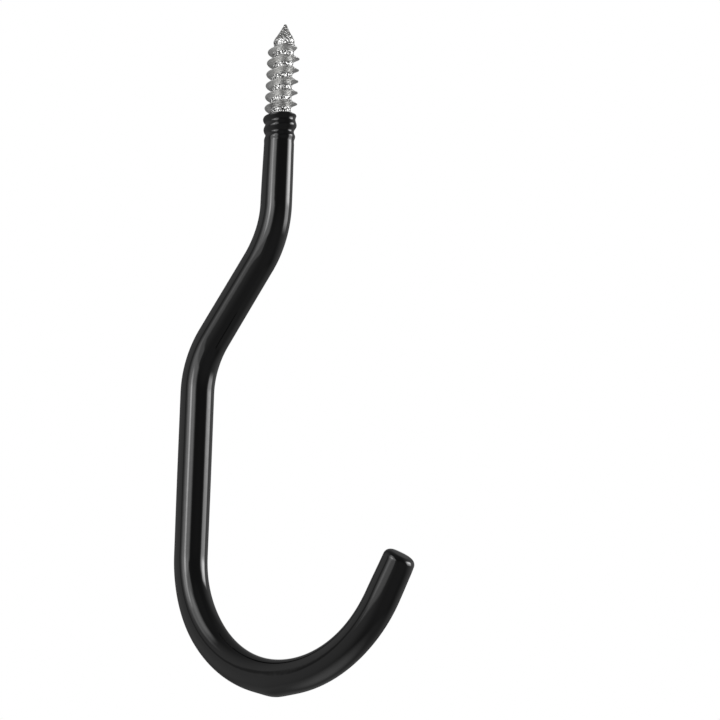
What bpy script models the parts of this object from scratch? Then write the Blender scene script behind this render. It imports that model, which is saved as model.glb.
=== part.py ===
"""Screw-in storage hook for a bicycle: one bent steel rod, dipped in vinyl below its thread.

Frame: metres, +Z up. The origin is on the screw's axis at the coat's upper edge, which is where
the ceiling's face comes. All the bends lie in the XZ plane, and the mouth opens towards +X.
Distances along the rod are measured down its axis from the origin, so the screw's are negative.
"""
import math

import bmesh
import bpy

MM = 0.001

# Rod and its bends, in order from the coat's edge to the free end
ROD_D = 7.6 * MM
NECK_LENGTH = 27.5 * MM
OFFSET_BEND_RADIUS = 27.5 * MM
OFFSET_BEND_ANGLE = math.radians(38.5)
OFFSET_LENGTH = 26.5 * MM
RETURN_BEND_RADIUS = 25.5 * MM
RETURN_BEND_ANGLE = math.radians(39.5)
SHANK_LENGTH = 49.5 * MM
HOOK_RADIUS = 39.5 * MM
HOOK_ANGLE = math.radians(150.0)
ARM_LENGTH = 11.5 * MM
ROD_END_CHAMFER = 0.5 * MM

# Screw, from its tip to the runout under the coat
SCREW_LENGTH = 29.0 * MM
POINT_LENGTH = 4.9 * MM
POINT_FLAT_D = 0.5 * MM
THREAD_D = 9.8 * MM
THREAD_ROOT_D = 6.4 * MM
THREAD_PITCH = 3.58 * MM
THREAD_PHASE = 0.2 * MM
THREAD_CREST_WIDTH = 0.24 * MM
THREAD_FLANK_ANGLE = math.radians(25.0)
THREAD_START = 3.8 * MM
THREAD_LEAD_IN = 4.6 * MM
RUNOUT_ABOVE_EDGE = 2.5 * MM
RUNOUT_LENGTH = 14.0 * MM
SHOULDER_LENGTH = 4.0 * MM

# Coat: its thickness over the rod at each landmark, and its clearance to the steel
CLEARANCE = 0.25 * MM
COAT_AT_EDGE = 0.72 * MM
COAT_AT_NECK_END = 0.95 * MM
COAT_AT_OFFSET = 1.17 * MM
COAT_AT_RETURN = 1.28 * MM
COAT_AT_SHANK = 1.29 * MM
COAT_AT_HOOK_START = 1.20 * MM
COAT_AT_HOOK_QUARTER = 1.40 * MM
COAT_AT_BELLY = 1.38 * MM
COAT_AT_RISE = 1.08 * MM
COAT_AT_ARM = 1.16 * MM
COAT_AT_END = 1.00 * MM
END_THICKNESS = 1.3 * MM
END_ROUND = 1.3 * MM
END_DOME = 0.25 * MM
LIP_ROUND = 0.6 * MM

# Where three of those landmarks stand on the hook's arc, as shares of its length
HOOK_START_SHARE = 0.06
HOOK_QUARTER_SHARE = 0.25
HOOK_RISE_SHARE = 0.86

# Coat over the covered turns of the thread
COVER_OVER_CREST = 0.65 * MM
RIDGE_HEIGHT = 0.42 * MM
RIDGES_FULL_TO = 7.5 * MM
RIDGES_GONE_BY = 11.0 * MM

# Drip left under the bend where the vinyl ran together
DRIP_HEIGHT = 0.50 * MM
DRIP_HALF_LENGTH = 3.60 * MM
DRIP_BEFORE_LOWEST = 3.9 * MM
DRIP_NARROWNESS = 3

# Facets
COAT_SIDES = 26
ROD_SIDES = 20
THREAD_STEPS = 22
BEND_STEP = math.radians(7.5)
COAT_STRAIGHT_STEP = 8.0 * MM
RIDGE_ROW_STEP = 0.45 * MM
DRIP_ROW_STEP = 1.8 * MM
SHOULDER_STEP = 1.0 * MM
ROUND_STEPS = 3
SHARP_ANGLE = math.radians(40.0)
ROUNDING_SLACK = 1e-6

# Guides: how deep the ridge's foot sinks into the core, and how far cutters reach past the coat
SINK = 0.2 * MM
CUT_OVERRUN = 3.0 * MM

# Materials: colour, roughness and metallic value
STEEL = ((0.55, 0.55, 0.54), 0.35, 1.0)
VINYL = ((0.012, 0.012, 0.013), 0.12, 0.0)


def smooth_step(value):
    """Ease from 0 to 1, flat at both ends."""
    t = min(max(value, 0.0), 1.0)
    return t * t * (3.0 - 2.0 * t)


def bend_table():
    """Each stretch below the coat's edge: its length along the axis and the angle it turns."""
    return [
        (NECK_LENGTH, 0.0),
        (OFFSET_BEND_RADIUS * OFFSET_BEND_ANGLE, -OFFSET_BEND_ANGLE),
        (OFFSET_LENGTH, 0.0),
        (RETURN_BEND_RADIUS * RETURN_BEND_ANGLE, RETURN_BEND_ANGLE),
        (SHANK_LENGTH, 0.0),
        (HOOK_RADIUS * HOOK_ANGLE, HOOK_ANGLE),
        (ARM_LENGTH, 0.0),
    ]


def stretch_starts():
    """Distance at which each stretch of the bend table starts, and last the rod's end."""
    starts = [0.0]
    for length, _ in bend_table():
        starts.append(starts[-1] + length)
    return starts


def axis_at(distance):
    """Place and heading of the axis: x, z and the angle from +X, in the XZ plane."""
    x, z, heading = 0.0, 0.0, -math.pi / 2
    left = distance
    table = bend_table()
    for index, (length, turn) in enumerate(table):
        is_last = index == len(table) - 1
        step = left if is_last or left < length else length
        rate = turn / length
        if rate:
            turned = heading + rate * step
            x += (math.sin(turned) - math.sin(heading)) / rate
            z -= (math.cos(turned) - math.cos(heading)) / rate
            heading = turned
        else:
            x += step * math.cos(heading)
            z += step * math.sin(heading)
        left -= step
        if left <= 0.0:
            break
    return x, z, heading


def lowest_distance():
    """Distance at which the bent rod is at its lowest, where the axis runs level."""
    *_, hook_start, _hook_end, _rod_end = stretch_starts()
    heading = axis_at(hook_start)[2]
    return hook_start - heading * HOOK_RADIUS


def ring_point(distance, angle, radius):
    """A point round the axis; angle 0 faces the inside of the hook, and +X on the neck."""
    x, z, heading = axis_at(distance)
    inward = radius * math.cos(angle)
    return (x - inward * math.sin(heading), radius * math.sin(angle), z + inward * math.cos(heading))


def core_radius(distance):
    """Steel without its ridge: the point's cone, the thread's root, the shoulder and the rod."""
    depth = distance + SCREW_LENGTH
    root = THREAD_ROOT_D / 2
    if depth < POINT_LENGTH:
        flat = POINT_FLAT_D / 2
        return flat + (root - flat) * max(depth, 0.0) / POINT_LENGTH
    runout_end = RUNOUT_LENGTH - RUNOUT_ABOVE_EDGE
    up = (distance - runout_end + SHOULDER_LENGTH) / SHOULDER_LENGTH
    return root + (ROD_D / 2 - root) * smooth_step(up)


def thread_radius(distance):
    """Radius at the thread's crest, with its lead-in at the point and its runout at the coat."""
    full = THREAD_D / 2
    start = THREAD_START - SCREW_LENGTH
    lead = (distance - start) / THREAD_LEAD_IN
    if lead < 1.0:
        first = core_radius(start) - SINK
        return first + (full - first) * lead
    runout = (distance + RUNOUT_ABOVE_EDGE) / RUNOUT_LENGTH
    return full - (full - ROD_D / 2) * max(runout, 0.0)


def thread_angle(distance):
    """Angle of the crest round the axis; the thread is right-handed."""
    return -math.tau * (distance + THREAD_PHASE) / THREAD_PITCH


def coat_landmarks():
    """Distances along the rod and the coat's thickness there."""
    edge, neck_end, offset_start, offset_end, shank_start, hook_start, hook_end, rod_end = stretch_starts()
    hook_length = hook_end - hook_start
    return [
        (edge, COAT_AT_EDGE),
        (neck_end, COAT_AT_NECK_END),
        (offset_start, COAT_AT_OFFSET),
        ((offset_end + shank_start) / 2, COAT_AT_RETURN),
        ((shank_start + hook_start) / 2, COAT_AT_SHANK),
        (hook_start + hook_length * HOOK_START_SHARE, COAT_AT_HOOK_START),
        (hook_start + hook_length * HOOK_QUARTER_SHARE, COAT_AT_HOOK_QUARTER),
        (lowest_distance() - DRIP_BEFORE_LOWEST, COAT_AT_BELLY),
        (hook_start + hook_length * HOOK_RISE_SHARE, COAT_AT_RISE),
        (hook_end, COAT_AT_ARM),
        (rod_end, COAT_AT_END),
    ]


def plain_coat_radius(distance):
    """Outer radius of the coat away from the thread, eased between its landmarks."""
    marks = coat_landmarks()
    thickness = marks[-1][1]
    for (start, first), (end, second) in zip(marks, marks[1:]):
        if distance < end:
            thickness = first + (second - first) * smooth_step((distance - start) / (end - start))
            break
    return ROD_D / 2 + thickness


def ridged_coat_radius(distance, angle):
    """Outer radius of the coat where it follows the covered turns of the thread."""
    behind = (angle - thread_angle(distance)) / 2
    valley = RIDGE_HEIGHT * math.sin(behind) ** 2
    return thread_radius(distance) + COVER_OVER_CREST - valley


def drip(distance, angle):
    """Height of the drip: a low bump on the outer side of the bend."""
    along = (distance - lowest_distance() + DRIP_BEFORE_LOWEST) / DRIP_HALF_LENGTH
    around = max(-math.cos(angle), 0.0)
    return DRIP_HEIGHT * math.exp(-along * along) * around ** DRIP_NARROWNESS


def coat_radius(distance, angle):
    """Outer radius of the vinyl anywhere on the hook."""
    fade = smooth_step((distance - RIDGES_FULL_TO) / (RIDGES_GONE_BY - RIDGES_FULL_TO))
    radius = plain_coat_radius(distance)
    if fade < 1.0:
        radius += (ridged_coat_radius(distance, angle) - radius) * (1.0 - fade)
    return radius + drip(distance, angle)


def spread(start, end, longest):
    """Distances from start up to end, evenly spaced and no further apart than longest."""
    count = max(1, math.ceil((end - start) / longest - ROUNDING_SLACK))
    return [start + (end - start) * i / count for i in range(count)]


def run_rows(start, straight_step):
    """Distances from start to the rod's end, closer together round the bends."""
    rows = []
    starts = stretch_starts()
    for index, (length, turn) in enumerate(bend_table()):
        first = max(start, starts[index])
        last = starts[index + 1]
        if last <= first:
            continue
        step = BEND_STEP * length / abs(turn) if turn else straight_step
        rows += spread(first, last, step)
    return rows


def thin_out(rows, closest):
    """Sorted rows, without those nearer than closest to the one before."""
    kept = []
    for row in sorted(rows):
        if not kept or row - kept[-1] >= closest:
            kept.append(row)
    return kept


def coat_rows():
    """Rings of the coat as distance and inset: the lip, the ridges, the run and the end."""
    quarter = [math.pi / 2 * i / ROUND_STEPS for i in range(ROUND_STEPS + 1)]
    rows = [(LIP_ROUND * (1 - math.cos(a)), LIP_ROUND * (1 - math.sin(a))) for a in quarter]
    coat_end = stretch_starts()[-1] + END_THICKNESS
    round_start = coat_end - END_ROUND
    ridges = spread(LIP_ROUND + RIDGE_ROW_STEP, RIDGES_GONE_BY, RIDGE_ROW_STEP)
    run = run_rows(RIDGES_GONE_BY, COAT_STRAIGHT_STEP)
    drip_centre = lowest_distance() - DRIP_BEFORE_LOWEST
    drip_reach = 2 * DRIP_HALF_LENGTH
    drips = spread(drip_centre - drip_reach, drip_centre + drip_reach, DRIP_ROW_STEP)
    inner = [row for row in thin_out(run + drips, DRIP_ROW_STEP / 2) if row < round_start - END_ROUND]
    rows += [(row, 0.0) for row in ridges + inner]
    rows += [(round_start + END_ROUND * math.sin(a), END_ROUND * (1 - math.cos(a))) for a in quarter]
    return rows


def steel_rows(start, grow):
    """Rings of the rod from start to its end, where a grown copy reaches further by grow."""
    point_end = POINT_LENGTH - SCREW_LENGTH
    shoulder_end = RUNOUT_LENGTH - RUNOUT_ABOVE_EDGE
    rows = [start, point_end] if start < point_end else [start]
    rows += spread(shoulder_end - SHOULDER_LENGTH, shoulder_end, SHOULDER_STEP)
    rows += run_rows(shoulder_end, math.inf)
    rod_end = stretch_starts()[-1] + grow
    return [(row, 0.0) for row in rows] + [(rod_end - ROD_END_CHAMFER, 0.0), (rod_end, ROD_END_CHAMFER)]


def link(name, mesh, material):
    """An object in the scene for a finished mesh, shaded smooth with its true edges sharp."""
    bmesh.ops.recalc_face_normals(mesh, faces=mesh.faces)
    data = bpy.data.meshes.new(name)
    mesh.to_mesh(data)
    mesh.free()
    data.materials.append(material)
    data.shade_smooth()
    data.set_sharp_from_angle(angle=SHARP_ANGLE)
    thing = bpy.data.objects.new(name, data)
    bpy.context.scene.collection.objects.link(thing)
    return thing


def tube(name, rows, radius_at, sides, material, end_rise=0.0):
    """Closed solid through a ring at each row, with a point end_rise beyond its last ring."""
    mesh = bmesh.new()
    rings = []
    for distance, inset in rows:
        ring = []
        for i in range(sides):
            angle = math.tau * i / sides
            ring.append(mesh.verts.new(ring_point(distance, angle, radius_at(distance, angle) - inset)))
        rings.append(ring)
    for near, far in zip(rings, rings[1:]):
        for i in range(sides):
            j = (i + 1) % sides
            mesh.faces.new((near[i], near[j], far[j], far[i]))
    mesh.faces.new(rings[0])
    tip = mesh.verts.new(ring_point(rows[-1][0] + end_rise, 0.0, 0.0))
    for i in range(sides):
        mesh.faces.new((rings[-1][i], rings[-1][(i + 1) % sides], tip))
    return link(name, mesh, material)


def thread_section(distance, grow):
    """The ridge's section as radius and distance, from its upper foot over the crest."""
    crest = thread_radius(distance) + grow
    foot = core_radius(distance) + grow - SINK
    crest_half = THREAD_CREST_WIDTH / 2 + grow
    foot_half = crest_half + max(crest - foot, 0.0) * math.tan(THREAD_FLANK_ANGLE)
    return [
        (foot, distance - foot_half),
        (crest, distance - crest_half),
        (crest, distance + crest_half),
        (foot, distance + foot_half),
    ]


def thread_ridge(name, start, grow, material):
    """The ridge as one solid wound round the core, from start to a quarter turn past its runout."""
    end = RUNOUT_LENGTH - RUNOUT_ABOVE_EDGE + THREAD_PITCH / 4
    steps = math.ceil((end - start) / THREAD_PITCH * THREAD_STEPS)
    mesh = bmesh.new()
    sections = []
    for i in range(steps + 1):
        distance = start + (end - start) * i / steps
        angle = thread_angle(distance)
        sections.append([mesh.verts.new(ring_point(d, angle, r)) for r, d in thread_section(distance, grow)])
    for near, far in zip(sections, sections[1:]):
        for i in range(len(near)):
            j = (i + 1) % len(near)
            mesh.faces.new((near[i], near[j], far[j], far[i]))
    mesh.faces.new(sections[0])
    mesh.faces.new(sections[-1])
    return link(name, mesh, material)


def combine(body, tool, operation):
    """Join or cut body with tool, which is only a guide and stays out of the model."""
    modifier = body.modifiers.new(operation.lower() + "_" + tool.name, "BOOLEAN")
    modifier.operation = operation
    modifier.solver = "EXACT"
    modifier.object = tool
    tool.hide_render = True
    tool.display_type = "WIRE"


def principled(name, colour, roughness, metallic):
    """A plain material with the part's colour, roughness and metallic value."""
    material = bpy.data.materials.new(name)
    material.use_nodes = True
    shader = material.node_tree.nodes["Principled BSDF"]
    shader.inputs["Base Color"].default_value = (*colour, 1.0)
    shader.inputs["Roughness"].default_value = roughness
    shader.inputs["Metallic"].default_value = metallic
    return material


def core(name, start, grow, material):
    """The rod and its point without the ridge, or a copy of it grown all round."""
    return tube(name, steel_rows(start, grow), lambda d, _: core_radius(d) + grow, ROD_SIDES, material)


def steel_rod(material):
    """The bent rod with its point and rolled thread, as one solid."""
    start = -SCREW_LENGTH
    rod = core("steel_rod", start, 0.0, material)
    ridge = thread_ridge("thread_guide", start + THREAD_START, 0.0, material)
    combine(rod, ridge, "UNION")
    return rod


def vinyl_coating(material):
    """The dipped coat: its outer form less the steel grown by the clearance."""
    coat = tube("vinyl_coating", coat_rows(), coat_radius, COAT_SIDES, material, END_DOME)
    bore = core("bore_cutter", -CUT_OVERRUN, CLEARANCE, material)
    groove = thread_ridge("groove_cutter", -CUT_OVERRUN, CLEARANCE, material)
    combine(coat, bore, "DIFFERENCE")
    combine(coat, groove, "DIFFERENCE")
    return coat


def clear_scene():
    """Start from an empty scene."""
    for thing in list(bpy.data.objects):
        bpy.data.objects.remove(thing)


def build():
    """Make both pieces of the hook."""
    clear_scene()
    steel_rod(principled("plated_steel", *STEEL))
    vinyl_coating(principled("black_vinyl", *VINYL))


build()
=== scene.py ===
"""Looks of a screw-in storage hook for a bicycle: plated steel, dipped in glossy black vinyl.

Frame: metres, +Z up along the screw. The origin is on the screw's axis at the coat's upper edge, and
the bends lie in the XZ plane. Distances run down the rod's axis from the origin, so those on the bare
screw are negative. Angle 0 round the rod faces the inside of the hook.
"""
import logging
import math
from dataclasses import dataclass
from enum import Enum
from typing import Optional, Sequence, Union

import bpy
import numpy as np
from mathutils import Euler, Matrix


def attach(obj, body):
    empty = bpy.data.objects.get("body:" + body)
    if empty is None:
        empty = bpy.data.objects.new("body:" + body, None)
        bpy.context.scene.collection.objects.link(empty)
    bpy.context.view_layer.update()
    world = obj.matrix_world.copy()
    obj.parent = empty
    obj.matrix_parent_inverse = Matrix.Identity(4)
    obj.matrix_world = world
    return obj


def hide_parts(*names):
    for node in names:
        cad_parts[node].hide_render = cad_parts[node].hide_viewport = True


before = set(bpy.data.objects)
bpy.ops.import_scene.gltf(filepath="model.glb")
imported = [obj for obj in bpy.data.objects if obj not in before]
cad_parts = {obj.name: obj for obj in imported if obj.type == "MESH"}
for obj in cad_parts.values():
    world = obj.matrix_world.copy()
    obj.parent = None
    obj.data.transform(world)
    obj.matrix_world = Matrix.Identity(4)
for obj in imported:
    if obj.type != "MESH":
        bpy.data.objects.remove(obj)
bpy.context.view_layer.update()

MM = 0.001
LOG = logging.getLogger("hook")

Triple = tuple[float, float, float]
Operand = Union[float, "Value"]


class Slot(Enum):
    """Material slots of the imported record."""

    STEEL = "plated_steel"
    VINYL = "black_vinyl"


class Place(Enum):
    """Coordinates that a pattern can follow."""

    OBJECT = "Object"
    DIRECTION = "Generated"


# Shader building


class Value:
    """A shader socket used as a number: each operator adds the Math node that works it out."""

    def __init__(self, graph: "Graph", socket: bpy.types.NodeSocket) -> None:
        """Wrap a socket.

        Args:
            graph: The node tree that the socket belongs to.
            socket: An output socket.
        """
        self.graph = graph
        self.socket = socket

    def _math(self, operation: str, *operands: Operand) -> "Value":
        """Return a new Math node's result."""
        return self.graph.add("ShaderNodeMath", {"operation": operation}, dict(enumerate(operands)))

    def __add__(self, other: Operand) -> "Value":
        """Return self + other."""
        return self._math("ADD", self, other)

    def __radd__(self, other: Operand) -> "Value":
        """Return other + self."""
        return self._math("ADD", other, self)

    def __sub__(self, other: Operand) -> "Value":
        """Return self - other."""
        return self._math("SUBTRACT", self, other)

    def __rsub__(self, other: Operand) -> "Value":
        """Return other - self."""
        return self._math("SUBTRACT", other, self)

    def __mul__(self, other: Operand) -> "Value":
        """Return self * other."""
        return self._math("MULTIPLY", self, other)

    def __rmul__(self, other: Operand) -> "Value":
        """Return other * self."""
        return self._math("MULTIPLY", other, self)

    def __truediv__(self, other: Operand) -> "Value":
        """Return self / other."""
        return self._math("DIVIDE", self, other)

    def __rtruediv__(self, other: Operand) -> "Value":
        """Return other / self."""
        return self._math("DIVIDE", other, self)

    def __abs__(self) -> "Value":
        """Return the size of self without its sign."""
        return self._math("ABSOLUTE", self)

    def larger(self, other: Operand) -> "Value":
        """Return the larger of self and other."""
        return self._math("MAXIMUM", self, other)

    def smooth(self, low: float, high: float) -> "Value":
        """Ease self from 0 at low to 1 at high.

        Args:
            low: Where the result is 0.
            high: Where the result is 1; it may be below low.

        Returns:
            A value from 0 to 1.
        """
        settings = {"interpolation_type": "SMOOTHSTEP"}
        inputs = {"Value": self, "From Min": low, "From Max": high}
        return self.graph.add("ShaderNodeMapRange", settings, inputs)


class Graph:
    """A node tree that is filled from Python expressions."""

    def __init__(self, tree: bpy.types.NodeTree) -> None:
        """Start with an empty tree.

        Args:
            tree: The tree of a material or a world.
        """
        self.tree = tree
        tree.nodes.clear()

    def add(
        self,
        kind: str,
        settings: Optional[dict] = None,
        inputs: Optional[dict] = None,
        output: Union[int, str] = 0,
    ) -> Value:
        """Add one node.

        Args:
            kind: The node's type.
            settings: Its properties, set before its sockets.
            inputs: Numbers, colours or Values by the socket's name or index.
            output: Name or index of the output that is returned.

        Returns:
            The chosen output.
        """
        node = self.tree.nodes.new(kind)
        for name, value in (settings or {}).items():
            setattr(node, name, value)
        for name, value in (inputs or {}).items():
            self.feed(node.inputs[name], value)
        return Value(self, node.outputs[output])

    def feed(self, socket: bpy.types.NodeSocket, value: object) -> None:
        """Link a Value to a socket, or set the socket's own number or colour.

        Args:
            socket: The input socket.
            value: A Value, a number or a tuple.
        """
        if isinstance(value, Value):
            self.tree.links.new(value.socket, socket)
        elif isinstance(value, tuple) and socket.type == "RGBA":
            socket.default_value = (*value, 1.0)
        else:
            socket.default_value = value

    def place(self, kind: Place) -> Value:
        """Return texture coordinates."""
        return self.add("ShaderNodeTexCoord", output=kind.value)

    def ray(self, kind: str) -> Value:
        """Return 1 where the light path is of a kind."""
        return self.add("ShaderNodeLightPath", output=kind)

    def mirrored(self) -> Value:
        """Return 1 where a surface mirrors something or lets it be seen through it."""
        return self.ray("Is Glossy Ray") + self.ray("Is Transmission Ray")

    def scaled(self, place: Value, factors: Triple) -> Value:
        """Return coordinates multiplied along each axis."""
        return self.add("ShaderNodeVectorMath", {"operation": "MULTIPLY"}, {0: place, 1: factors})

    def along(self, place: Value, direction: Triple) -> Value:
        """Return how far coordinates reach along a direction."""
        inputs = {0: place, 1: direction}
        return self.add("ShaderNodeVectorMath", {"operation": "DOT_PRODUCT"}, inputs, "Value")

    def reach(self, place: Value) -> Value:
        """Return the distance of coordinates from their origin."""
        return self.add("ShaderNodeVectorMath", {"operation": "LENGTH"}, {0: place}, "Value")

    def blend(self, factor: Operand, first: object, second: object) -> Value:
        """Return a colour between first and second."""
        return self.add("ShaderNodeMix", {"data_type": "RGBA"}, {0: factor, 6: first, 7: second}, 2)

    def bump(self, height: Value, distance: float, normal: Optional[Value] = None) -> Value:
        """Return a normal tilted by a height.

        Args:
            height: Height from 0 to 1.
            distance: What a height of 1 measures, in metres.
            normal: A normal to start from.

        Returns:
            The new normal.
        """
        inputs = {"Height": height, "Distance": distance, "Strength": 1.0}
        if normal is not None:
            inputs["Normal"] = normal
        return self.add("ShaderNodeBump", {}, inputs)

    def shade(self, inputs: dict) -> None:
        """End a material in a Principled shader with the given sockets."""
        surface = self.add("ShaderNodeBsdfPrincipled", {}, inputs)
        self.add_output(surface, "ShaderNodeOutputMaterial")

    def add_output(self, surface: Value, kind: str) -> None:
        """Link the last shader to the tree's output node."""
        node = self.tree.nodes.new(kind)
        self.tree.links.new(surface.socket, node.inputs["Surface"])


def new_material(name: str) -> tuple[bpy.types.Material, Graph]:
    """Make an empty node material.

    Args:
        name: The material's name.

    Returns:
        The material and its graph.
    """
    material = bpy.data.materials.new(name)
    material.use_nodes = True
    return material, Graph(material.node_tree)


@dataclass(frozen=True)
class Speckle:
    """Noise over a surface: features per metre, finer octaves and their strength.

    Where low and high are given, the noise is eased from 0 at low to 1 at high.
    """

    scale: float
    detail: float = 2.0
    roughness: float = 0.5
    low: float = 0.0
    high: float = 0.0

    def over(self, graph: Graph, place: Value) -> Value:
        """Work the noise out over coordinates.

        Args:
            graph: The finish's graph.
            place: Coordinates, in metres.

        Returns:
            A value from 0 to 1.
        """
        inputs = {"Vector": place, "Scale": self.scale, "Detail": self.detail, "Roughness": self.roughness}
        noise = graph.add("ShaderNodeTexNoise", {}, inputs)
        return noise.smooth(self.low, self.high) if self.high > self.low else noise


@dataclass(frozen=True)
class DippedVinyl:
    """Glossy black vinyl, as it sets after the hook is drawn out of the bath."""

    colour: Triple = (0.0015, 0.0015, 0.0017)
    dust_colour: Triple = (0.004, 0.004, 0.004)
    ior: float = 1.5
    roughness: float = 0.025
    haze_roughness: float = 0.03
    haze: Speckle = Speckle(scale=105.0)
    peel: Speckle = Speckle(scale=420.0, detail=1.0)
    peel_height: float = 0.012 * MM
    dust: Speckle = Speckle(scale=2600.0, detail=3.0, roughness=0.7, low=0.62, high=0.8)

    def material(self) -> bpy.types.Material:
        """Make the finish.

        Returns:
            The finish as a material.
        """
        material, graph = new_material("glossy_black_vinyl")
        place = graph.place(Place.OBJECT)
        graph.shade({
            "Base Color": graph.blend(self.dust.over(graph, place), self.colour, self.dust_colour),
            "Roughness": self.roughness + self.haze.over(graph, place) * self.haze_roughness,
            "IOR": self.ior,
            "Normal": graph.bump(self.peel.over(graph, place), self.peel_height),
        })
        return material


@dataclass(frozen=True)
class PlatedSteel:
    """Zinc plating on a rolled thread: plain on the flanks, bright in the root, with painted dark
    reflections there.

    The cone of the point is mottled. Near-black specks are painted into the root as dark reflections of
    the flanks beside it. Specks in the root are drawn out along the screw.
    """

    colour: Triple = (0.94, 0.94, 0.93)
    dull_colour: Triple = (0.33, 0.33, 0.32)
    # Near-black colour of the painted dark reflections in the thread's root.
    painted_reflection_colour: Triple = (0.04, 0.04, 0.04)
    flank_roughness: float = 0.43
    root_roughness: float = 0.2
    root_radius: float = 3.16 * MM
    flank_radius: float = 3.42 * MM
    cone_start: float = 23.6 * MM
    cone_clear: float = 24.8 * MM
    cone_brightness: float = 0.7
    grain: Speckle = Speckle(scale=2000.0, detail=4.0, roughness=0.7)
    grain_height: float = 0.05 * MM
    mottle: Speckle = Speckle(scale=2000.0, detail=1.0, roughness=0.6, low=0.44, high=0.56)
    thread_mottle: float = 0.26
    flank_dullness: float = 0.36
    speck_stretch: float = 0.45
    # Pattern and share of the painted dark reflections, which stand in for reflections of the flanks
    # beside the root.
    painted_reflection: Speckle = Speckle(scale=3000.0, detail=2.0, roughness=0.6, low=0.46, high=0.53)
    painted_reflection_share: float = 0.93
    spark: Speckle = Speckle(scale=2300.0, detail=1.0, low=0.35, high=0.65)
    spark_height: float = 0.22 * MM

    def material(self) -> bpy.types.Material:
        """Make the finish.

        Returns:
            The finish as a material.
        """
        material, graph = new_material("bright_zinc")
        place = graph.place(Place.OBJECT)
        upright = graph.scaled(place, (1.0, 1.0, self.speck_stretch))
        radius = graph.reach(graph.scaled(place, (1.0, 1.0, 0.0)))
        low = radius.smooth(self.flank_radius, self.root_radius)
        below_cone = graph.along(place, (0.0, 0.0, 1.0)).smooth(self.cone_clear, self.cone_start)
        root = low * below_cone
        flank = below_cone - root
        bright = (low * self.cone_brightness).larger(root)
        mottled = self.mottle.over(graph, place) * (1.0 - (1.0 - self.thread_mottle) * below_cone)
        zinc = graph.blend(mottled + flank * self.flank_dullness, self.colour, self.dull_colour)
        # Painted dark reflections: near-black specks put into the thread's root only.
        painted_reflection_mask = self.painted_reflection.over(graph, upright) * root * self.painted_reflection_share
        fine = graph.bump(self.grain.over(graph, place), self.grain_height)
        graph.shade({
            "Base Color": graph.blend(painted_reflection_mask, zinc, self.painted_reflection_colour),
            "Metallic": 1.0,
            "Roughness": self.flank_roughness - bright * (self.flank_roughness - self.root_roughness),
            "Normal": graph.bump(self.spark.over(graph, upright) * bright, self.spark_height, fine),
        })
        return material


# Shapes


def ease(value: np.ndarray) -> np.ndarray:
    """Ease from 0 to 1, flat at both ends."""
    t = np.clip(value, 0.0, 1.0)
    return t * t * (3.0 - 2.0 * t)


def soft_min(first: np.ndarray, second: np.ndarray, reach: float) -> np.ndarray:
    """The smaller of two heights, rounded over where they meet.

    Args:
        first: Heights.
        second: Heights.
        reach: How far apart they still affect each other.

    Returns:
        The rounded smaller height.
    """
    h = np.clip(0.5 + 0.5 * (second - first) / reach, 0.0, 1.0)
    return second * (1.0 - h) + first * h - reach * h * (1.0 - h)


@dataclass(frozen=True)
class RodLine:
    """The bent rod's centreline, from the coat's edge to the free end."""

    neck: float = 27.5 * MM
    offset_radius: float = 27.5 * MM
    offset_angle: float = math.radians(38.5)
    offset: float = 26.5 * MM
    return_radius: float = 25.5 * MM
    return_angle: float = math.radians(39.5)
    shank: float = 49.5 * MM
    hook_radius: float = 39.5 * MM
    hook_angle: float = math.radians(150.0)
    arm: float = 11.5 * MM

    def stretches(self) -> list[tuple[float, float]]:
        """Straight and bent stretches in order.

        Returns:
            Each stretch's length and the angle it turns.
        """
        return [
            (self.neck, 0.0),
            (self.offset_radius * self.offset_angle, -self.offset_angle),
            (self.offset, 0.0),
            (self.return_radius * self.return_angle, self.return_angle),
            (self.shank, 0.0),
            (self.hook_radius * self.hook_angle, self.hook_angle),
            (self.arm, 0.0),
        ]

    def starts(self) -> list[float]:
        """Where the stretches start.

        Returns:
            The distance at which each stretch starts, and last the rod's end.
        """
        starts = [0.0]
        for length, _ in self.stretches():
            starts.append(starts[-1] + length)
        return starts

    def at(self, distance: np.ndarray) -> tuple[np.ndarray, np.ndarray, np.ndarray]:
        """Place and heading of the axis.

        Args:
            distance: Distances along the axis.

        Returns:
            x, z and the heading as an angle from +X.
        """
        x = np.zeros_like(distance)
        z = np.zeros_like(distance)
        heading = np.full_like(distance, -math.pi / 2)
        stretches = self.stretches()
        for index, ((length, turn), start) in enumerate(zip(stretches, self.starts())):
            lowest = -np.inf if index == 0 else 0.0
            highest = np.inf if index == len(stretches) - 1 else length
            step = np.clip(distance - start, lowest, highest)
            rate = turn / length
            if rate:
                turned = heading + rate * step
                x += (np.sin(turned) - np.sin(heading)) / rate
                z -= (np.cos(turned) - np.cos(heading)) / rate
                heading = turned
            else:
                x += step * np.cos(heading)
                z += step * np.sin(heading)
        return x, z, heading

    def lowest(self) -> float:
        """Where the hook bend is at its lowest.

        Returns:
            The distance along the axis.
        """
        hook_start = self.starts()[-3]
        heading = self.at(np.array([hook_start]))[2][0]
        return hook_start - heading * self.hook_radius

    def surface(self, distance: np.ndarray, angle: np.ndarray, radius: np.ndarray) -> np.ndarray:
        """Points round the axis.

        Args:
            distance: Distances along the axis.
            angle: Angles round it.
            radius: Distances from it.

        Returns:
            The points, with x, y and z on the last axis.
        """
        x, z, heading = self.at(distance)
        inward = radius * np.cos(angle)
        sideways = radius * np.sin(angle)
        return np.stack([x - inward * np.sin(heading), sideways, z + inward * np.cos(heading)], -1)


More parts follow.
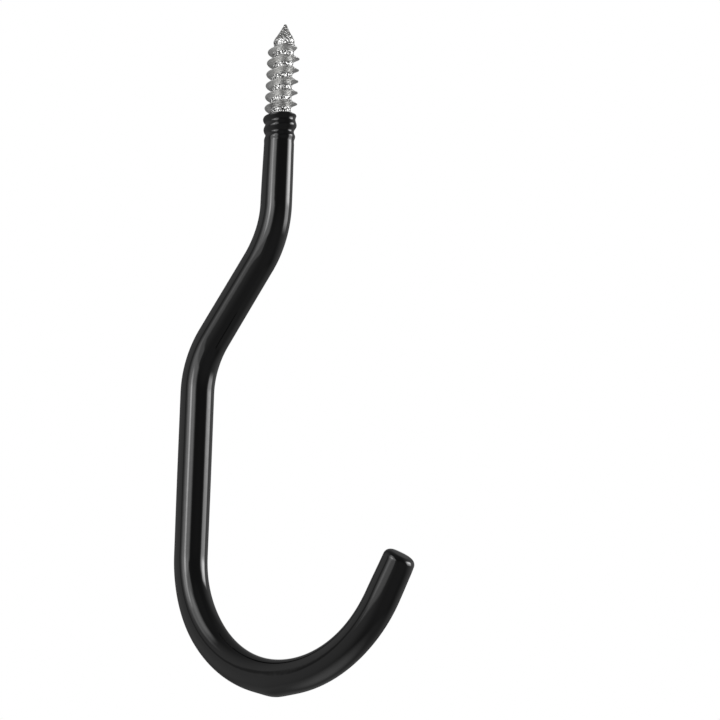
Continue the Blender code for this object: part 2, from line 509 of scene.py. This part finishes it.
@dataclass(frozen=True)
class LagThread:
    """The rolled wood-screw thread with its point and its runout under the coat."""

    rod_radius: float = 3.8 * MM
    length: float = 29.15 * MM
    point: float = 5.1 * MM
    point_flat: float = 0.42 * MM
    point_hollow: float = 1.15
    crest_radius: float = 4.88 * MM
    root_radius: float = 3.06 * MM
    pitch: float = 3.571 * MM
    phase: float = 0.19 * MM
    crest_half: float = 0.055 * MM
    flank_half: float = 1.2 * MM
    flank_hollow: float = 1.32
    rounding: float = 0.12 * MM
    start: float = 2.0 * MM
    start_radius: float = 1.7 * MM
    lead_in: float = 7.1 * MM
    start_share: float = 0.3
    runout_above: float = 2.5 * MM
    runout: float = 14.0 * MM
    shoulder: float = 4.0 * MM
    lean: float = 0.23 * MM
    lean_azimuth: float = math.radians(40.0)
    lean_length: float = 29.3 * MM

    def runout_end(self) -> float:
        """Return the distance at which the thread has run out."""
        return self.runout - self.runout_above

    def core(self, distance: np.ndarray) -> np.ndarray:
        """Radius of the steel without its thread.

        Args:
            distance: Distances along the axis.

        Returns:
            The radius.
        """
        share = np.clip((distance + self.length) / self.point, 0.0, 1.0) ** self.point_hollow
        cone = self.point_flat + (self.root_radius - self.point_flat) * share
        up = ease((distance - self.runout_end() + self.shoulder) / self.shoulder)
        return cone + (self.rod_radius - self.root_radius) * up

    def crest(self, distance: np.ndarray) -> np.ndarray:
        """Radius over the thread's crest.

        Args:
            distance: Distances along the axis.

        Returns:
            The radius.
        """
        lead = (distance + self.length - self.start) / self.lead_in
        rising = self.start_radius + (self.crest_radius - self.start_radius) * np.clip(lead, 0.0, 1.0)
        out = np.clip((distance + self.runout_above) / self.runout, 0.0, 1.0)
        return rising - (self.crest_radius - self.rod_radius) * out

    def behind(self, distance: np.ndarray, angle: np.ndarray) -> np.ndarray:
        """Return how far a point lies past the nearest crest, in turns from -0.5 to 0.5."""
        turns = angle / math.tau + (distance + self.phase) / self.pitch
        return turns - np.round(turns)

    def surface_radius(self, distance: np.ndarray, angle: np.ndarray) -> np.ndarray:
        """Radius of the steel anywhere on the screw.

        Args:
            distance: Distances along the axis.
            angle: Angles round it.

        Returns:
            The radius.
        """
        core = self.core(distance)
        height = np.maximum(self.crest(distance) - core, 0.0)
        offset = np.abs(self.behind(distance, angle)) * self.pitch
        left = np.maximum(1.0 - (offset - self.crest_half) / self.flank_half, 0.0)
        ridge = soft_min(height * left ** self.flank_hollow, height, self.rounding)
        shown = ease((distance + self.length - self.start) / (self.start_share * self.lead_in))
        return core + ridge * shown

    def leaned(self, points: np.ndarray, distance: np.ndarray) -> np.ndarray:
        """Push points of the screw sideways, as its point leans a little off the axis.

        Args:
            points: Points on the steel.
            distance: Their distances along the axis.

        Returns:
            The moved points.
        """
        share = np.clip((self.lean_length - self.length - distance) / self.lean_length, 0.0, 1.0) ** 2
        side = np.array([math.cos(self.lean_azimuth), math.sin(self.lean_azimuth), 0.0])
        return points + self.lean * share[..., None] * side

    def rows(self, first: float, last: float, sides: int) -> np.ndarray:
        """Distances whose spacing lets the crest run through the corners of a grid.

        Args:
            first: Smallest distance.
            last: Largest distance.
            sides: Columns of the grid.

        Returns:
            The distances.
        """
        step = self.pitch / sides
        return np.arange(math.ceil(first / step), math.floor(last / step) + 1) * step


@dataclass(frozen=True)
class Mark:
    """A small swelling of the coat, or a hollow where its height is below zero."""

    height: float
    distance: float
    angle: float
    half_length: float
    half_angle: float

    def at(self, distance: np.ndarray, angle: np.ndarray) -> np.ndarray:
        """Height of the mark at points of the coat.

        Args:
            distance: Distances along the axis.
            angle: Angles round it.

        Returns:
            The height, which fades out past the mark's half length and half angle.
        """
        along = (distance - self.distance) / self.half_length
        around = (np.mod(angle - self.angle + math.pi, math.tau) - math.pi) / self.half_angle
        return self.height * np.exp(-along * along - around * around)


def ring_mesh(name: str, rings: np.ndarray, first: np.ndarray, last: np.ndarray) -> bpy.types.Object:
    """Closed mesh through rings of points, with one point at each end.

    Args:
        name: The object's name.
        rings: Points by ring and by place in the ring.
        first: The point before the first ring.
        last: The point after the last ring.

    Returns:
        The object, shaded smooth.
    """
    count, sides = rings.shape[:2]
    points = np.vstack([rings.reshape(-1, 3), first[None], last[None]])
    column = np.arange(sides)
    after = (column + 1) % sides
    row = np.arange(count - 1)[:, None] * sides
    near, near_after, far, far_after = row + column, row + after, row + sides + column, row + sides + after
    lower = np.stack([near, far, near_after], -1).reshape(-1, 3)
    upper = np.stack([near_after, far, far_after], -1).reshape(-1, 3)
    first_index, last_index = count * sides, count * sides + 1
    start = np.stack([column, after, np.full(sides, first_index)], -1)
    base = (count - 1) * sides
    end = np.stack([base + after, base + column, np.full(sides, last_index)], -1)
    mesh = bpy.data.meshes.new(name)
    mesh.from_pydata(points.tolist(), [], np.vstack([start, lower, upper, end]).tolist())
    mesh.shade_smooth()
    mesh.update()
    thing = bpy.data.objects.new(name, mesh)
    bpy.context.scene.collection.objects.link(thing)
    return thing


def dress(thing: bpy.types.Object, material: bpy.types.Material, node: str) -> None:
    """Give a piece its finish and its place in the part.

    Args:
        thing: The piece.
        material: Its finish.
        node: The solid that it stands for.
    """
    thing.data.materials.append(material)
    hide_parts(node)
    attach(thing, "root")
    LOG.info("%s stands for %s: %d faces", thing.name, node, len(thing.data.polygons))


@dataclass
class BentScrewRod:
    """The steel: a point and a rolled thread, then the bare rod inside the coat."""

    line: RodLine
    thread: LagThread
    finish: PlatedSteel = PlatedSteel()
    sides: int = 72
    tip_rise: float = 0.06 * MM
    rod_step: float = 3.0 * MM
    end_chamfer: float = 0.5 * MM

    def build(self) -> bpy.types.Object:
        """Make the rod in its place.

        Returns:
            The dressed piece.
        """
        angles = np.arange(self.sides) * math.tau / self.sides
        tip = -self.thread.length
        rod_end = self.line.starts()[-1]
        first = tip + self.thread.pitch / self.sides
        threaded = self.thread.rows(first, self.thread.runout_end(), self.sides)
        bare = np.arange(threaded[-1] + self.rod_step, rod_end - self.rod_step, self.rod_step)
        rows = np.concatenate([[tip], threaded, bare, [rod_end - self.end_chamfer, rod_end]])
        distance, angle = np.meshgrid(rows, angles, indexing="ij")
        radius = self.thread.surface_radius(distance, angle)
        radius[-1] -= self.end_chamfer
        poles = np.array([tip - self.tip_rise, rod_end])
        ends = self.thread.leaned(self.line.surface(poles, np.zeros(2), np.zeros(2)), poles)
        rings = self.thread.leaned(self.line.surface(distance, angle, radius), distance)
        thing = ring_mesh("bent_screw_rod", rings, ends[0], ends[1])
        dress(thing, self.finish.material(), "steel_rod")
        return thing


@dataclass
class VinylCoat:
    """The dipped coat: a skin on the steel with ridges over the thread, a drip and a round end.

    Its thickness is given at the landmarks of the rod, and changes smoothly between them.
    """

    line: RodLine
    thread: LagThread
    finish: DippedVinyl = DippedVinyl()
    sides: int = 72
    fit: float = 0.03 * MM
    thickness: Sequence[float] = (
        0.65 * MM, 0.93 * MM, 1.15 * MM, 1.26 * MM, 1.27 * MM, 1.18 * MM,
        1.38 * MM, 1.36 * MM, 1.06 * MM, 1.14 * MM, 0.98 * MM,
    )
    hook_shares: Sequence[float] = (0.06, 0.25, 0.86)
    end_thickness: float = 1.55 * MM
    end_round: float = 1.8 * MM
    end_dome: float = 0.25 * MM
    end_tilt: float = 0.22 * MM
    end_reach: float = 2.5 * MM
    lip_round: float = 0.3 * MM
    creep: float = 0.12 * MM
    edge_tilt: float = 0.5 * MM
    edge_azimuth: float = math.radians(40.0)
    edge_reach: float = 3.0 * MM
    swell: float = 0.44 * MM
    swell_gone_by: float = 6.6 * MM
    ridge_half: float = 0.285 * MM
    ridge_rise: float = 0.22 * MM
    ridges_full_to: float = 5.4 * MM
    ridges_gone_by: float = 9.0 * MM
    ridge_step: float = 0.12 * MM
    run_step: float = 0.8 * MM
    bore_step: float = 3.2 * MM
    round_steps: int = 10
    drip_before_lowest: float = 3.9 * MM
    drip_height: float = 0.5 * MM
    drip_half_length: float = 3.6 * MM
    drip_half_angle: float = 0.8
    hollow_past_end: float = 1.5 * MM
    hollow_depth: float = 0.4 * MM
    hollow_half_length: float = 2.2 * MM
    hollow_half_angle: float = 0.9

    def marks(self) -> list[Mark]:
        """Unevenness on the outer side of the bends, where the vinyl drained.

        Returns:
            The drip under the bend and the hollow before the free end.
        """
        drip = self.line.lowest() - self.drip_before_lowest
        hollow = self.line.starts()[-1] + self.hollow_past_end
        return [
            Mark(self.drip_height, drip, math.pi, self.drip_half_length, self.drip_half_angle),
            Mark(-self.hollow_depth, hollow, math.pi, self.hollow_half_length, self.hollow_half_angle),
        ]

    def landmarks(self) -> np.ndarray:
        """Places along the rod where the coat's thickness is given.

        Returns:
            Their distances along the axis.
        """
        edge, neck_end, offset_start, offset_end, shank, hook, hook_end, rod_end = self.line.starts()
        start, quarter, rise = (hook + (hook_end - hook) * share for share in self.hook_shares)
        drip = self.line.lowest() - self.drip_before_lowest
        return np.array([
            edge, neck_end, offset_start, (offset_end + shank) / 2, (shank + hook) / 2,
            start, quarter, drip, rise, hook_end, rod_end,
        ])

    def plain_radius(self, distance: np.ndarray) -> np.ndarray:
        """Radius of the coat's outside without its ridges and marks.

        Args:
            distance: Distances along the axis.

        Returns:
            The radius.
        """
        ends = self.landmarks()
        place = np.clip(np.searchsorted(ends, distance, side="right") - 1, 0, len(ends) - 2)
        share = ease((distance - ends[place]) / (ends[place + 1] - ends[place]))
        thickness = np.array(self.thickness)
        before, after = thickness[place], thickness[place + 1]
        return self.thread.rod_radius + before + (after - before) * share

    def outer_radius(self, distance: np.ndarray, angle: np.ndarray) -> np.ndarray:
        """Radius of the coat's outside.

        Args:
            distance: Distances along the axis.
            angle: Angles round it.

        Returns:
            The radius.
        """
        swell = self.swell * (1.0 - ease(distance / self.swell_gone_by))
        faded = ease((distance - self.ridges_full_to) / (self.ridges_gone_by - self.ridges_full_to))
        turns = self.thread.behind(distance + self.ridge_rise, angle)
        ridge = self.ridge_half * (1.0 - faded) * np.cos(turns * math.tau)
        marks = sum(mark.at(distance, angle) for mark in self.marks())
        return self.plain_radius(distance) + swell + ridge + marks

    def tilted(self, distance: np.ndarray, angle: np.ndarray) -> np.ndarray:
        """Return distances near the edge moved up on one side and down on the other."""
        share = np.clip(1.0 - distance / self.edge_reach, 0.0, 1.0)
        return distance - self.edge_tilt * share * np.cos(angle - self.edge_azimuth)

    def inner_rings(self, angles: np.ndarray) -> np.ndarray:
        """Points of the bore, from the rod's end up to the lip.

        Args:
            angles: Angles round the rod.

        Returns:
            Points by ring and by place in the ring.
        """
        runout_end = self.thread.runout_end()
        rod_end = self.line.starts()[-1] + self.fit
        threaded = self.thread.rows(0.0, runout_end, self.sides)
        bare = np.arange(threaded[-1] + self.run_step, rod_end - self.run_step, self.bore_step)
        rows = np.concatenate([threaded, bare, [rod_end]])[::-1]
        distance, angle = np.meshgrid(rows, angles, indexing="ij")
        distance = self.tilted(distance, angle)
        return self.line.surface(distance, angle, self.thread.surface_radius(distance, angle) + self.fit)

    def outer_rings(self, angles: np.ndarray) -> np.ndarray:
        """Points of the outside, from where it creeps up the steel to the free end.

        Args:
            angles: Angles round the rod.

        Returns:
            Points by ring and by place in the ring.
        """
        quarter = np.linspace(0.0, math.pi / 2, self.round_steps)
        end = self.line.starts()[-1] + self.end_thickness
        ridges = np.arange(self.lip_round + self.ridge_step, self.ridges_gone_by, self.ridge_step)
        run = np.arange(self.ridges_gone_by, end - self.end_round - self.run_step / 2, self.run_step)
        rows = np.concatenate([
            self.lip_round * (1.0 - np.cos(quarter)), ridges, run,
            end - self.end_round * (1.0 - np.sin(quarter)),
        ])
        inset = np.concatenate([
            self.lip_round * (1.0 - np.sin(quarter)), 0.0 * ridges, 0.0 * run,
            self.end_round * (1.0 - np.cos(quarter)),
        ])
        distance, angle = np.meshgrid(rows, angles, indexing="ij")
        radius = self.outer_radius(distance, angle) - inset[:, None]
        near_end = np.clip(1.0 - (end - distance) / self.end_reach, 0.0, 1.0)
        distance = self.tilted(distance, angle) + self.end_tilt * near_end * np.cos(angle)
        highest = distance[0] - self.creep
        lip = self.thread.surface_radius(highest, angles) + self.fit
        radius[0] = np.maximum(radius[0], lip + self.fit)
        creeping = self.line.surface(highest, angles, lip)
        return np.concatenate([creeping[None], self.line.surface(distance, angle, radius)])

    def build(self) -> bpy.types.Object:
        """Make the coat in its place.

        Returns:
            The dressed piece.
        """
        angles = np.arange(self.sides) * math.tau / self.sides
        rings = np.concatenate([self.inner_rings(angles), self.outer_rings(angles)])
        rod_end = self.line.starts()[-1]
        poles = np.array([rod_end + self.fit, rod_end + self.end_thickness + self.end_dome])
        ends = self.line.surface(poles, np.zeros(2), np.zeros(2))
        thing = ring_mesh("dipped_vinyl_coat", rings, ends[0], ends[1])
        dress(thing, self.finish.material(), "vinyl_coating")
        return thing


# Studio


def towards(azimuth: float, elevation: float) -> Triple:
    """Unit vector of a direction.

    Args:
        azimuth: Angle from +X round +Z, in degrees.
        elevation: Angle above the horizon, in degrees.

    Returns:
        Its x, y and z.
    """
    around, above = math.radians(azimuth), math.radians(elevation)
    return math.cos(above) * math.cos(around), math.cos(above) * math.sin(around), math.sin(above)


@dataclass(frozen=True)
class Softbox:
    """A rectangular light, far off, with soft edges at its sides and ends; angles in degrees."""

    azimuth: float
    elevation: float
    half_width: float
    half_height: float
    strength: float
    edge: float = 4.0
    end: float = 4.0
    tilt: float = 0.0
    least_half: float = 0.2
    least_facing: float = 0.001
    front: float = 0.05

    def axes(self) -> tuple[Triple, Triple, Triple]:
        """Directions of the light's own axes.

        Returns:
            Unit vectors towards the light, across it and up it.
        """
        aim = Euler((0.0, -math.radians(self.elevation), math.radians(self.azimuth)), "XYZ")
        turn = aim.to_matrix() @ Euler((math.radians(self.tilt), 0.0, 0.0)).to_matrix()
        out, across, up = (tuple(turn.col[i]) for i in range(3))
        return out, across, up

    def glow(self, graph: Graph, direction: Value) -> Value:
        """Light seen in a direction.

        Args:
            graph: The world's graph.
            direction: The direction looked at.

        Returns:
            The light's strength there.
        """
        out, across, up = (graph.along(direction, axis) for axis in self.axes())
        facing = out.larger(self.least_facing)
        share = out.smooth(0.0, self.front)
        sides = ((across, self.half_width, self.edge), (up, self.half_height, self.end))
        for reach, half, edge in sides:
            dark, lit = (max(angle, self.least_half) for angle in (half + edge, half - edge))
            tangent = abs(reach / facing)
            share = share * tangent.smooth(math.tan(math.radians(dark)), math.tan(math.radians(lit)))
        return share * self.strength


@dataclass(frozen=True)
class Fill:
    """A wide soft glow from a part of the room, full up to inner and gone by outer, in degrees."""

    azimuth: float
    elevation: float
    inner: float
    outer: float
    strength: float

    def glow(self, graph: Graph, direction: Value) -> Value:
        """Light seen in a direction.

        Args:
            graph: The world's graph.
            direction: The direction looked at.

        Returns:
            The light's strength there.
        """
        low, high = (math.cos(math.radians(angle)) for angle in (self.outer, self.inner))
        middle = towards(self.azimuth, self.elevation)
        return graph.along(direction, middle).smooth(low, high) * self.strength


@dataclass
class Studio:
    """Floor, surroundings and camera for a picture at the photograph's angle."""

    floor_height: float = -0.48
    floor_radius: float = 0.24
    floor_whole: float = 0.03
    floor_sides: int = 96
    floor_colour: Triple = (0.58, 0.58, 0.58)
    floor_roughness: float = 0.8
    floor_grain: Speckle = Speckle(scale=900.0)
    floor_grain_roughness: float = 0.1
    floor_lift: Triple = (0.62, 0.62, 0.62)
    room: float = 0.119
    camera_place: Triple = (0.63668203, -0.70792084, -0.31524867)
    camera_turn: Triple = (104.23203, -2.25147, 39.78443)
    lens: float = 167.00875
    clip_start: float = 10.0 * MM
    boxes: Sequence[Softbox] = (
        Softbox(-86.1, 5.0, 22.3, 18.2, 0.93, edge=3.3, end=2.8, tilt=-16.0),
        Softbox(-87.1, 8.9, 29.3, 11.7, 1.0, edge=4.6, end=2.5, tilt=-5.3),
        Softbox(-88.0, 25.5, 21.8, 10.9, 1.7, edge=4.5, end=8.0),
        Softbox(-89.2, 11.0, 6.0, 5.6, 3.2, edge=2.5, end=3.0, tilt=6.0),
        Softbox(-91.9, 20.4, 3.8, 9.4, 3.04, edge=3.0, end=2.5, tilt=30.0),
        Softbox(-86.8, 41.6, 11.2, 9.1, 2.2, edge=6.0, end=7.5, tilt=-35.0),
        Softbox(42.1, 12.4, 15.9, 14.3, 3.8, edge=6.0, end=6.5, tilt=11.8),
        Softbox(47.4, 24.5, 12.1, 8.7, 5.8, edge=6.0, end=3.4, tilt=-1.0),
    )
    flag: Softbox = Softbox(-129.0, 13.0, 3.0, 14.0, 0.29, edge=2.0, end=4.0, tilt=18.0)
    fills: Sequence[Fill] = (
        Fill(-121.4, -4.7, 2.1, 81.2, 0.37),
        Fill(59.0, 8.4, 0.0, 51.7, 0.36),
        Fill(118.6, -67.3, 41.9, 56.9, 0.13),
        Fill(139.6, 49.5, 2.1, 69.2, 0.06),
        Fill(-136.5, 39.7, 10.0, 38.0, 0.07),
        Fill(-15.0, -28.0, 5.0, 50.0, 0.1),
        Fill(-40.0, 54.0, 5.0, 24.0, 0.05),
    )
    backdrop: Fill = Fill(130.4, 14.2, 9.0, 13.0, 1.0)

    def world(self) -> None:
        """Make the surroundings: a dim room with soft lights, and white where the camera looks."""
        world = bpy.data.worlds.new("studio")
        world.use_nodes = True
        bpy.context.scene.world = world
        graph = Graph(world.node_tree)
        direction = graph.place(Place.DIRECTION)
        lights = [light.glow(graph, direction) for light in (*self.fills, *self.boxes)]
        light = (sum(lights, self.room) - self.flag.glow(graph, direction)).larger(0.0)
        white = graph.ray("Is Camera Ray") + graph.mirrored() * self.backdrop.glow(graph, direction)
        colour = graph.blend(white, light, (1.0, 1.0, 1.0))
        surface = graph.add("ShaderNodeBackground", {}, {"Color": colour})
        graph.add_output(surface, "ShaderNodeOutputWorld")

    def floor(self) -> None:
        """Make the pale floor under the hook, which fades out and is seen and mirrored as white."""
        angles = np.arange(self.floor_sides) * math.tau / self.floor_sides
        ring = np.stack([np.cos(angles), np.sin(angles), 0.0 * angles], -1) * self.floor_radius
        mesh = bpy.data.meshes.new("floor")
        mesh.from_pydata(ring.tolist(), [], [list(range(self.floor_sides))])
        floor = bpy.data.objects.new("floor", mesh)
        bpy.context.scene.collection.objects.link(floor)
        floor.location.z = self.floor_height
        material, graph = new_material("pale_floor")
        place = graph.place(Place.OBJECT)
        grain = self.floor_grain.over(graph, place)
        seen = graph.ray("Is Camera Ray") + graph.mirrored()
        graph.shade({
            "Base Color": self.floor_colour,
            "Roughness": self.floor_roughness + grain * self.floor_grain_roughness,
            "Alpha": graph.reach(place).smooth(self.floor_radius, self.floor_whole),
            "Emission Color": graph.blend(seen, (0.0, 0.0, 0.0), self.floor_lift),
            "Emission Strength": 1.0,
        })
        mesh.materials.append(material)

    def camera(self) -> None:
        """Set up the camera where the photograph was taken from."""
        data = bpy.data.cameras.new("camera")
        data.lens = self.lens
        data.clip_start = self.clip_start
        camera = bpy.data.objects.new("camera", data)
        camera.location = self.camera_place
        camera.rotation_euler = Euler([math.radians(a) for a in self.camera_turn], "XYZ")
        bpy.context.scene.collection.objects.link(camera)
        bpy.context.scene.camera = camera

    def build(self) -> None:
        """Make all of the studio."""
        self.world()
        self.floor()
        self.camera()
        bpy.context.scene.view_settings.view_transform = "Standard"
        LOG.info("studio: %d lights, floor at %.2f m", len(self.boxes), self.floor_height)


def main() -> None:
    """Build the hook and the studio round it."""
    logging.basicConfig(level=logging.INFO, format="%(name)s: %(message)s")
    line = RodLine()
    thread = LagThread()
    BentScrewRod(line, thread).build()
    VinylCoat(line, thread).build()
    Studio().build()


if __name__ == "__main__":
    main()
